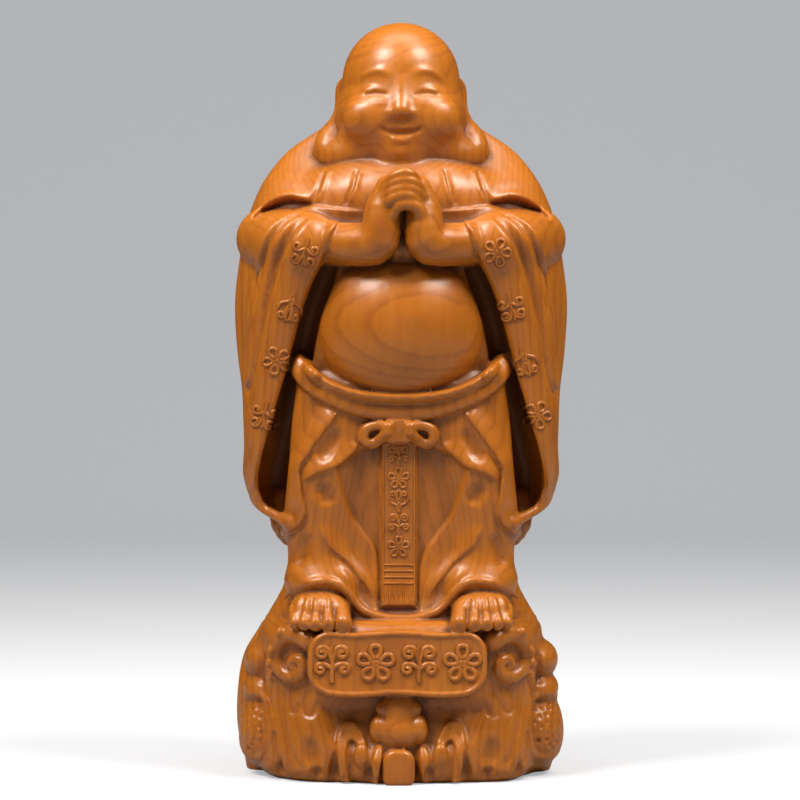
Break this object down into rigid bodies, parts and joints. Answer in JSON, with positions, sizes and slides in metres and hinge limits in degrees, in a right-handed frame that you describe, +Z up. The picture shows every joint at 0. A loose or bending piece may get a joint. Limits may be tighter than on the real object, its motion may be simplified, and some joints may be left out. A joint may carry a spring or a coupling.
{
  "type": "laughing buddha root carving",
  "caption": "Standing robed laughing figure with folded hands and a bare belly on a rooty base, carved from one block of wood.",
  "frame": {"origin": "on the flat underside of the base, under the middle of the figure", "axes": "+Z up through the crown, -Y the way the figure faces, +X to the right as seen from the front"},
  "size_m": [0.1332, 0.1127, 0.3],
  "materials": {
    "carved_wood": "oiled and polished to a satin sheen, warm orange brown"
  },
  "bodies": {
    "root": {"carving": "carved_wood"}
  },
  "joints": []
}
